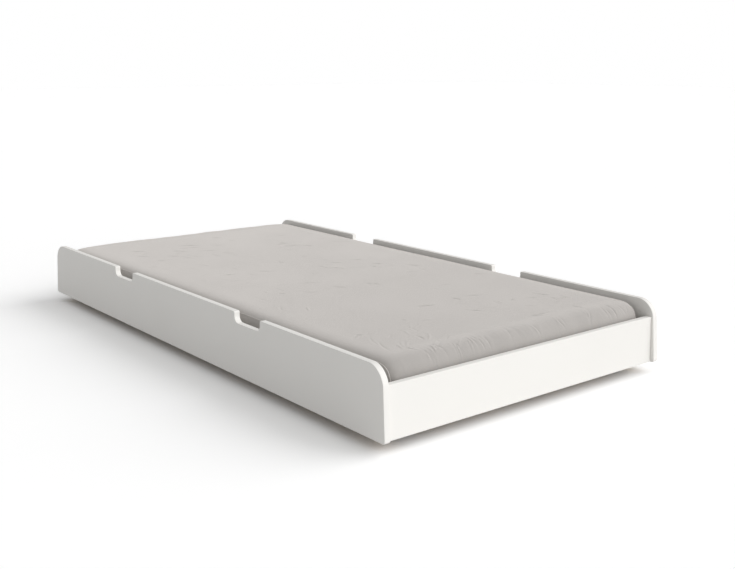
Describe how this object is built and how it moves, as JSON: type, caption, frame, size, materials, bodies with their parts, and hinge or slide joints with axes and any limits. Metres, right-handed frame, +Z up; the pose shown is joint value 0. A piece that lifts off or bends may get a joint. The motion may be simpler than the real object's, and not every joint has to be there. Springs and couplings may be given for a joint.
{
  "type": "trundle bed",
  "caption": "Low white trundle bed with notched side panels, a slatted base, a mattress and swivel casters, to roll under a taller bed.",
  "frame": {"origin": "on the floor, under the middle of the bed", "axes": "+X along the bed, +Y across it towards the back panel, +Z up; the front panel with its hand notches faces -Y"},
  "size_m": [1.9744, 1.038, 0.213],
  "materials": {
    "white_lacquer": "satin white lacquer on smooth board",
    "timber": "planed pine, clear matt",
    "zinc_steel": "bright zinc plate",
    "black_nylon": "moulded nylon",
    "grey_rubber": "matt soft rubber",
    "webbing": "woven polyester tape",
    "mattress_fabric": "warm light grey knitted cover"
  },
  "bodies": {
    "frame": {"side_panel_front": "white_lacquer", "side_panel_back": "white_lacquer", "end_board_left": "white_lacquer", "end_board_right": "white_lacquer", "corner_block_front_left": "timber", "bolt_front_left_side": "zinc_steel", "bolt_front_left_end": "zinc_steel", "corner_block_front_right": "timber", "bolt_front_right_side": "zinc_steel", "bolt_front_right_end": "zinc_steel", "corner_block_back_left": "timber", "bolt_back_left_side": "zinc_steel", "bolt_back_left_end": "zinc_steel", "corner_block_back_right": "timber", "bolt_back_right_side": "zinc_steel", "bolt_back_right_end": "zinc_steel", "ledger_front": "timber", "ledger_back": "timber", "caster_board_left": "timber", "caster_board_right": "timber", "slat_01": "timber", "slat_02": "timber", "slat_03": "timber", "slat_04": "timber", "slat_05": "timber", "slat_06": "timber", "slat_07": "timber", "slat_08": "timber", "slat_09": "timber", "slat_10": "timber", "slat_11": "timber", "slat_12": "timber", "slat_strap_front": "webbing", "slat_strap_back": "webbing", "caster_front_left_plate": "zinc_steel", "caster_front_left_kingpin": "zinc_steel", "caster_front_right_plate": "zinc_steel", "caster_front_right_kingpin": "zinc_steel", "caster_back_left_plate": "zinc_steel", "caster_back_left_kingpin": "zinc_steel", "caster_back_right_plate": "zinc_steel", "caster_back_right_kingpin": "zinc_steel"},
    "caster_front_left_swivel": {"caster_front_left_fork": "zinc_steel", "caster_front_left_axle": "zinc_steel"},
    "caster_front_left_roller": {"caster_front_left_wheel": "black_nylon", "caster_front_left_tyre": "grey_rubber"},
    "caster_front_right_swivel": {"caster_front_right_fork": "zinc_steel", "caster_front_right_axle": "zinc_steel"},
    "caster_front_right_roller": {"caster_front_right_wheel": "black_nylon", "caster_front_right_tyre": "grey_rubber"},
    "caster_back_left_swivel": {"caster_back_left_fork": "zinc_steel", "caster_back_left_axle": "zinc_steel"},
    "caster_back_left_roller": {"caster_back_left_wheel": "black_nylon", "caster_back_left_tyre": "grey_rubber"},
    "caster_back_right_swivel": {"caster_back_right_fork": "zinc_steel", "caster_back_right_axle": "zinc_steel"},
    "caster_back_right_roller": {"caster_back_right_wheel": "black_nylon", "caster_back_right_tyre": "grey_rubber"},
    "mattress": {"mattress": "mattress_fabric"}
  },
  "joints": [
    {"name": "caster_front_left_swivel_turn", "type": "hinge", "parent": "frame", "child": "caster_front_left_swivel", "pos_m": [-0.9096, -0.411, 0.06], "axis": [0, 0, 1], "continuous": true},
    {"name": "caster_front_left_wheel_roll", "type": "hinge", "parent": "caster_front_left_swivel", "child": "caster_front_left_roller", "pos_m": [-0.9096, -0.393, 0.025], "axis": [1, 0, 0], "continuous": true},
    {"name": "caster_front_right_swivel_turn", "type": "hinge", "parent": "frame", "child": "caster_front_right_swivel", "pos_m": [0.9096, -0.411, 0.06], "axis": [0, 0, 1], "continuous": true},
    {"name": "caster_front_right_wheel_roll", "type": "hinge", "parent": "caster_front_right_swivel", "child": "caster_front_right_roller", "pos_m": [0.9096, -0.393, 0.025], "axis": [1, 0, 0], "continuous": true},
    {"name": "caster_back_left_swivel_turn", "type": "hinge", "parent": "frame", "child": "caster_back_left_swivel", "pos_m": [-0.9096, 0.411, 0.06], "axis": [0, 0, 1], "continuous": true},
    {"name": "caster_back_left_wheel_roll", "type": "hinge", "parent": "caster_back_left_swivel", "child": "caster_back_left_roller", "pos_m": [-0.9096, 0.429, 0.025], "axis": [1, 0, 0], "continuous": true},
    {"name": "caster_back_right_swivel_turn", "type": "hinge", "parent": "frame", "child": "caster_back_right_swivel", "pos_m": [0.9096, 0.411, 0.06], "axis": [0, 0, 1], "continuous": true},
    {"name": "caster_back_right_wheel_roll", "type": "hinge", "parent": "caster_back_right_swivel", "child": "caster_back_right_roller", "pos_m": [0.9096, 0.429, 0.025], "axis": [1, 0, 0], "continuous": true},
    {"name": "mattress_lift", "type": "slide", "parent": "frame", "child": "mattress", "axis": [0, 0, 1], "range_m": [0, 0.25]}
  ]
}
